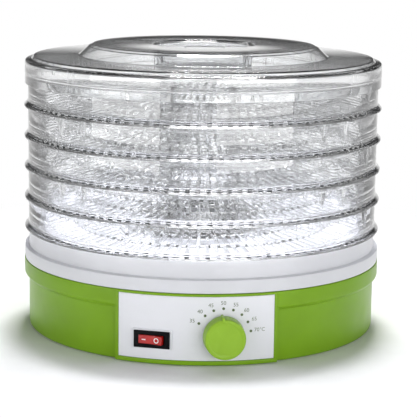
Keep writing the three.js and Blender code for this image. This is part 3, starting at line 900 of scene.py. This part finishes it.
def tray_shell():
    """One clear tray with its shoulder at height zero."""
    inner = WALL_R - sizes().wall
    top = TRAY_PITCH - GAP
    tray = spun(
        "tray",
        rounded([
            (SKIRT_R - 1.6, -6.2, 0.4),
            (SKIRT_R, -6.2, 0.4),
            (SKIRT_R, 0, 0.4),
            (WALL_R + 0.8, 0, 1.0),
            (TRAY_LIP_R - 0.7, -1.1, 0.5),
            (TRAY_LIP_R, -0.7, 0.4),
            (TRAY_LIP_R, 0.5, 0.6),
            (WALL_R, 4.6, 3.0),
            (WALL_R, top, 0.9),
            (inner, top, 0.8),
            (inner, 2.2, 1.4),
            (30, 2.2, 0.8),
            (30, 12, 0.7),
            (28.2, 12, 0.7),
            (28.2, 0, 0.5),
            (SKIRT_R - 1.6, 0, 0.4),
        ]),
    )
    count = sizes().windows
    window = crate("window", (-4.7, SKIRT_R - 4, -4.4), (4.7, SKIRT_R + 3, -1.3))
    foot = crate("tooth", (-1.6, SKIRT_R - 1.9, -8.4), (1.6, SKIRT_R + 0.35, -0.9))
    ribs = []
    for degrees in RIB_ANGLES:
        rib = crate("rib", (-1.4, inner - 1.3, 15), (1.4, inner + 0.6, top - 1.2))
        ribs.append(shift(rib, Matrix.Rotation(math.radians(180 + degrees), 4, "Z")))
    windows = round_the_axis(window, count)
    teeth = round_the_axis(foot, count, 0.5)
    combine(tray, [windows])
    combine(tray, [teeth, joined("ribs", ribs)], "UNION")
    cutters = []
    for inner_r, outer_r, slots in FLOOR_RINGS:
        slot = crate("slot", (-2.3, inner_r, -2), (2.3, outer_r, 5))
        cutters.append(round_the_axis(slot, slots, 0.5))
    combine(tray, [joined("slots", cutters)])
    return tray


def trays():
    """Five equal trays, each with its own mesh, the second and fourth turned by 64 degrees."""
    clear = clear_plastic()
    pattern = tray_shell()
    for i, node in enumerate(TRAYS):
        turn = Matrix.Rotation(math.radians((0, 64, 0, 64, 0)[i]), 4, "Z")
        lift = Matrix.Translation(Vector((0, 0, SEAT_Z + i * TRAY_PITCH)) * MM)
        copy = duplicate(pattern, lift @ turn)
        finish_piece(copy, "clear_" + node, node, clear, [node], 32)
    bpy.data.objects.remove(pattern)


def lid_shell():
    """Clear lid: skirt over the top tray, raised dome and a finger well with four windows."""
    wall = sizes().wall
    seat = SEAT_Z + len(TRAYS) * TRAY_PITCH
    rim = LID_TOP_Z - 13.6
    flat = LID_TOP_Z - 10.5
    inner = LID_R - wall
    well = 42.0
    floor = LID_TOP_Z - 24.5
    lid = spun(
        "lid",
        rounded([
            (inner, LID_LOW_Z, 0.5),
            (LID_R, LID_LOW_Z, 0.7),
            (LID_R, rim, 2.2),
            (155.5, rim + 0.4, 0.6),
            (153.4, flat, 0.6),
            (113, flat + 0.5, 1.6),
            (104, LID_TOP_Z - 1.6, 2.2),
            (100, LID_TOP_Z, 2.0),
            (well + 3.6, LID_TOP_Z, 2.6),
            (well - 0.4, floor + wall, 2.6),
            (0, floor + wall),
            (0, floor),
            (well + 1.4, floor, 2.0),
            (well + 5.4, LID_TOP_Z - wall, 2.0),
            (99.4, LID_TOP_Z - wall, 1.6),
            (102.6, LID_TOP_Z - wall - 1.6, 1.4),
            (111.4, flat - wall + 0.5, 1.2),
            (151.8, flat - wall, 0.8),
            (154, rim - wall, 0.6),
            (inner, rim - wall, 1.0),
            (inner, seat + 1.8, 0.3),
            (WALL_R - wall, seat + 1.8, 0.4),
            (WALL_R - wall, seat, 0.4),
            (inner, seat, 0.3),
        ]),
    )
    cutters = []
    for i in range(4):
        low, high = (-17.5, -well - 7, floor + 3.4), (17.5, -well + 7, floor + 11)
        window = crate("window", low, high, 0.8, 2)
        cutters.append(shift(window, Matrix.Rotation(i * math.pi / 2, 4, "Z")))
    combine(lid, cutters)
    ribs = []
    for degrees in (-44, -41.6, 53, 55.4, 136, 138.4, 233, 235.4):
        low, high = (-0.5, -inner - 0.6, LID_LOW_Z + 1.5), (0.5, -inner + 1.1, rim - wall + 0.8)
        rib = crate("rib", low, high)
        ribs.append(shift(rib, Matrix.Rotation(math.radians(degrees), 4, "Z")))
    for degrees in (-60, 60, 120, 240):
        low, high = (-0.7, -well - 8, floor + 0.6), (0.7, -well - 1.6, LID_TOP_Z - wall + 0.6)
        rib = crate("rib", low, high)
        ribs.append(shift(rib, Matrix.Rotation(math.radians(degrees), 4, "Z")))
    combine(lid, [joined("ribs", ribs)], "UNION")
    return finish_piece(lid, "clear_lid", "lid", clear_plastic("Clear lid plastic"),
                        ["lid"], 32)


# ------------------------------------------------------------------ inside and finishes
def paint(node, material):
    """Gives a CAD node that stays a finer material."""
    target = frame["nodes"][node]
    if target.material_slots:
        for holder in target.material_slots:
            holder.material = material
    else:
        target.data.materials.append(material)


def inside_finishes():
    """Materials for the pieces inside, which keep their CAD shapes."""
    steel = metal("Bright steel", (0.62, 0.63, 0.65), 0.28, (1, 1, 14), 260, 0.006)
    sheet = metal("Rolled aluminium", (0.78, 0.79, 0.8), 0.34, (1, 1, 22), 220, 0.01)
    bronze = metal("Sintered bronze", (0.55, 0.36, 0.16), 0.45, (1, 1, 1), 900, 0.03)
    lamination = banded("Stacked laminations", (0.33, 0.34, 0.36), 0.45, 0.9, 1400, "Z", 0.12)
    coil = banded("Enamelled copper", (0.62, 0.2, 0.06), 0.3, 0.85, 1700, "Y", 0.2)
    bobbin = moulded("Bobbin plastic", (0.75, 0.72, 0.62), 0.5, 700, 0.03, 0.05)
    black = moulded("Black fittings", (0.02, 0.02, 0.022), 0.45, 700, 0.03, 0.15)
    grey = moulded("Grey fittings", (0.3, 0.31, 0.33), 0.5, 700, 0.02, 0.08)
    mica = speckled("Pressed mica", (0.5, 0.42, 0.3), 0.55, 0.05)
    ceramic = speckled("Fired ceramic", (0.78, 0.75, 0.68), 0.7, 0.03)
    nichrome = metal("Resistance wire", (0.36, 0.32, 0.3), 0.5, (1, 1, 1), 800, 0.02)
    brass = metal("Switch terminals", (0.72, 0.52, 0.22), 0.3, (1, 1, 6), 400, 0.01)
    sleeve = moulded("Wire sleeve", (0.45, 0.03, 0.02), 0.42, 900, 0.02, 0.12)
    finishes = {
        "motor_stator": lamination,
        "rotor_core": lamination,
        "coil_bobbin": bobbin,
        "motor_coil": coil,
        "motor_bridge_lower": sheet,
        "motor_bridge_upper": sheet,
        "bearing_lower": bronze,
        "bearing_upper": bronze,
        "motor_shaft": steel,
        "fan_impeller": grey,
        "fan_nut": steel,
        "heater_cup": sheet,
        "heater_frame": mica,
        "heating_coil": nichrome,
        "thermal_cutout": steel,
        "switch_terminal_1": brass,
        "switch_terminal_2": brass,
        "thermostat_body": ceramic,
        "thermostat_nut": steel,
        "thermostat_shaft": steel,
        "cord_inlet": black,
        "terminal_block": bobbin,
        "wire_live": sleeve,
        "wire_heater": sleeve,
        "wire_control": sleeve,
    }
    for node, material in finishes.items():
        paint(node, material)


# ------------------------------------------------------------------ stage
VIEW_TURN = 1.2  # degrees that the camera stands round to the right of the front


def floor_finish():
    """Pale matte floor round the piece that runs out into an evenly lit white sweep."""
    n = Nodes("Floor")
    length = n.add("ShaderNodeVectorMath", operation="LENGTH")
    n.link(n.coordinates.outputs["Object"], length.inputs[0])
    radius = length.outputs["Value"]

    def ramp(near, far, low, high):
        node = n.add("ShaderNodeMapRange", interpolation_type="SMOOTHSTEP")
        node.inputs["From Min"].default_value = near
        node.inputs["From Max"].default_value = far
        node.inputs["To Min"].default_value = low
        node.inputs["To Max"].default_value = high
        n.link(radius, node.inputs["Value"])
        return node.outputs["Result"]

    pale, paler = (0.9, 0.9, 0.905), (0.93, 0.93, 0.935)
    n.link(n.blend(n.noise(30, 2), pale, paler), n.shader.inputs["Base Color"])
    n.set(Roughness=0.8, Specular_IOR_Level=0.1)
    glow = n.add("ShaderNodeEmission", Color=(1, 1, 1, 1), Strength=1.0)
    reach = n.add("ShaderNodeMixShader")
    n.link(ramp(0.3, 0.6, 0, 1), reach.inputs[0])
    n.link(n.shader.outputs["BSDF"], reach.inputs[1])
    n.link(glow.outputs["Emission"], reach.inputs[2])
    n.link(reach.outputs["Shader"], n.output.inputs["Surface"])
    return n.material


def studio():
    """A world that is white to the camera, with a bright low backdrop and dim surroundings."""
    world = bpy.data.worlds.new("Studio")
    bpy.context.scene.world = world
    world.use_nodes = True
    tree = world.node_tree
    background = tree.nodes["Background"]
    direction = tree.nodes.new("ShaderNodeTexCoord")
    parts = tree.nodes.new("ShaderNodeSeparateXYZ")
    tree.links.new(direction.outputs["Generated"], parts.inputs[0])

    def ramp(axis, start, end, power=1.0):
        node = tree.nodes.new("ShaderNodeMapRange")
        node.inputs["From Min"].default_value = start
        node.inputs["From Max"].default_value = end
        tree.links.new(parts.outputs[axis], node.inputs["Value"])
        return maths("POWER", node.outputs["Result"], power)

    def maths(operation, first, second):
        node = tree.nodes.new("ShaderNodeMath")
        node.operation = operation
        for socket, value in zip(node.inputs, (first, second)):
            if isinstance(value, (int, float)):
                socket.default_value = value
            else:
                tree.links.new(value, socket)
        return node.outputs["Value"]

    backdrop = maths("MULTIPLY", ramp("Y", 0.2, 0.9, 1.5), ramp("Z", 0.08, 0.0))
    overhead = maths("MULTIPLY", ramp("Z", 0.45, 0.8), 0.06)
    front = maths("MULTIPLY", ramp("Y", 0.1, -0.5), 0.06)
    light = maths("ADD", maths("ADD", backdrop, overhead), front)
    light = maths("ADD", light, 0.08)
    paths = tree.nodes.new("ShaderNodeLightPath")
    light = maths("MAXIMUM", light, paths.outputs["Is Camera Ray"])
    tree.links.new(light, background.inputs["Strength"])
    background.inputs["Color"].default_value = (1, 1, 1, 1)


def lamp(name, azimuth, elevation, distance, size, power):
    """A soft lamp aimed at the piece. Azimuth runs from the front towards +X, in degrees."""
    light = bpy.data.lights.new(name, "AREA")
    light.shape = "RECTANGLE"
    light.size, light.size_y = size
    light.energy = power
    item = bpy.data.objects.new(name, light)
    bpy.context.scene.collection.objects.link(item)
    a, e = math.radians(azimuth), math.radians(elevation)
    away = Vector((math.sin(a) * math.cos(e), -math.cos(a) * math.cos(e), math.sin(e)))
    item.location = away * distance + Vector((0, 0, 0.1))
    item.rotation_euler = away.to_track_quat("Z", "Y").to_euler()


def stage():
    """Pale floor, soft lamps, the world and the camera."""
    settle()
    bpy.ops.mesh.primitive_plane_add(size=80, location=(0, 0, 0))
    floor = bpy.context.object
    floor.name = "floor"
    floor.data.materials.append(floor_finish())
    studio()
    lamp("key", 34, 10, 2.2, (2.0, 0.7), 23)
    lamp("fill", -48, 8, 2.2, (1.9, 0.6), 16)
    lamp("top", 176, 61, 1.9, (0.6, 0.4), 38)

    lens = bpy.data.cameras.new("camera")
    camera = bpy.data.objects.new("camera", lens)
    bpy.context.scene.collection.objects.link(camera)
    lens.sensor_width = 36
    lens.lens = 137.8
    lens.clip_end = 100
    turn = Matrix.Rotation(math.radians(VIEW_TURN), 4, "Z")
    place = turn @ Matrix.Translation(Vector((2.2, -1450, 377.6)) * MM)
    yaw = Matrix.Rotation(math.radians(-0.16), 4, "Z")
    tilt = Matrix.Rotation(math.radians(90 - 10.68), 4, "X")
    roll = Matrix.Rotation(math.radians(0.76), 4, "Z")
    camera.matrix_world = place @ yaw @ tilt @ roll
    scene = bpy.context.scene
    scene.camera = camera
    scene.view_settings.view_transform = "Standard"
    scene.cycles.max_bounces = 32
    scene.cycles.transmission_bounces = 32
    scene.cycles.transparent_max_bounces = 32
    scene.cycles.glossy_bounces = 8


# ------------------------------------------------------------------ operators
class DRYER_OT_green_shell(bpy.types.Operator):
    """Turns the green housing with its raised frame and fits the panel's opening"""

    bl_idname = "dryer.green_shell"
    bl_label = "Green shell"

    def execute(self, context):
        base_shell()
        return {"FINISHED"}


class DRYER_OT_white_deck(bpy.types.Operator):
    """Turns the white deck and moulds the outlet grille in its middle"""

    bl_idname = "dryer.white_deck"
    bl_label = "White deck and grille"

    def execute(self, context):
        deck_shell()
        outlet_grille()
        return {"FINISHED"}


class DRYER_OT_underside(bpy.types.Operator):
    """Makes the inlet plate, its rubber pads and all pan head screws"""

    bl_idname = "dryer.underside"
    bl_label = "Underside and screws"

    def execute(self, context):
        underside()
        screws()
        return {"FINISHED"}


class DRYER_OT_control_panel(bpy.types.Operator):
    """Makes the curved panel and prints its dial"""

    bl_idname = "dryer.control_panel"
    bl_label = "Control panel"

    def execute(self, context):
        control_panel()
        dial_print()
        return {"FINISHED"}


class DRYER_OT_controls(bpy.types.Operator):
    """Makes the thermostat knob and the power switch"""

    bl_idname = "dryer.controls"
    bl_label = "Knob and switch"

    def execute(self, context):
        thermostat_knob()
        power_switch()
        return {"FINISHED"}


class DRYER_OT_trays(bpy.types.Operator):
    """Models one clear tray and stacks five of it"""

    bl_idname = "dryer.trays"
    bl_label = "Clear trays"

    def execute(self, context):
        trays()
        return {"FINISHED"}


class DRYER_OT_lid(bpy.types.Operator):
    """Turns the clear lid with its dome and finger well"""

    bl_idname = "dryer.lid"
    bl_label = "Clear lid"

    def execute(self, context):
        lid_shell()
        return {"FINISHED"}


class DRYER_OT_inside(bpy.types.Operator):
    """Finishes for the motor, heater, switch and wiring"""

    bl_idname = "dryer.inside"
    bl_label = "Inside finishes"

    def execute(self, context):
        inside_finishes()
        return {"FINISHED"}


class DRYER_OT_stage(bpy.types.Operator):
    """Sets the floor, the lamps, the world and the camera"""

    bl_idname = "dryer.stage"
    bl_label = "Stage"

    def execute(self, context):
        stage()
        return {"FINISHED"}


STEPS = (
    DRYER_OT_green_shell,
    DRYER_OT_white_deck,
    DRYER_OT_underside,
    DRYER_OT_control_panel,
    DRYER_OT_controls,
    DRYER_OT_trays,
    DRYER_OT_lid,
    DRYER_OT_inside,
    DRYER_OT_stage,
)


class DRYER_PT_panel(bpy.types.Panel):
    """Lists the steps that build the dehydrator"""

    bl_idname = "DRYER_PT_panel"
    bl_label = "Dehydrator"
    bl_space_type = "VIEW_3D"
    bl_region_type = "UI"
    bl_category = "Dehydrator"

    def draw(self, context):
        layout = self.layout
        for group in (context.scene.dryer_sizes, context.scene.dryer_colours):
            column = layout.column(align=True)
            for key in group.__annotations__:
                column.prop(group, key)
        for step in STEPS:
            layout.operator(step.bl_idname)


CLASSES = (DryerSizes, DryerColours, *STEPS, DRYER_PT_panel)


def register():
    for cls in CLASSES:
        bpy.utils.register_class(cls)
    bpy.types.Scene.dryer_sizes = PointerProperty(type=DryerSizes)
    bpy.types.Scene.dryer_colours = PointerProperty(type=DryerColours)


def unregister():
    del bpy.types.Scene.dryer_colours
    del bpy.types.Scene.dryer_sizes
    for cls in reversed(CLASSES):
        bpy.utils.unregister_class(cls)


def main():
    register()
    bpy.ops.dryer.green_shell()
    bpy.ops.dryer.white_deck()
    bpy.ops.dryer.underside()
    bpy.ops.dryer.control_panel()
    bpy.ops.dryer.controls()
    bpy.ops.dryer.trays()
    bpy.ops.dryer.lid()
    bpy.ops.dryer.inside()
    bpy.ops.dryer.stage()
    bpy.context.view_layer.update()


if __name__ == "__main__":
    main()
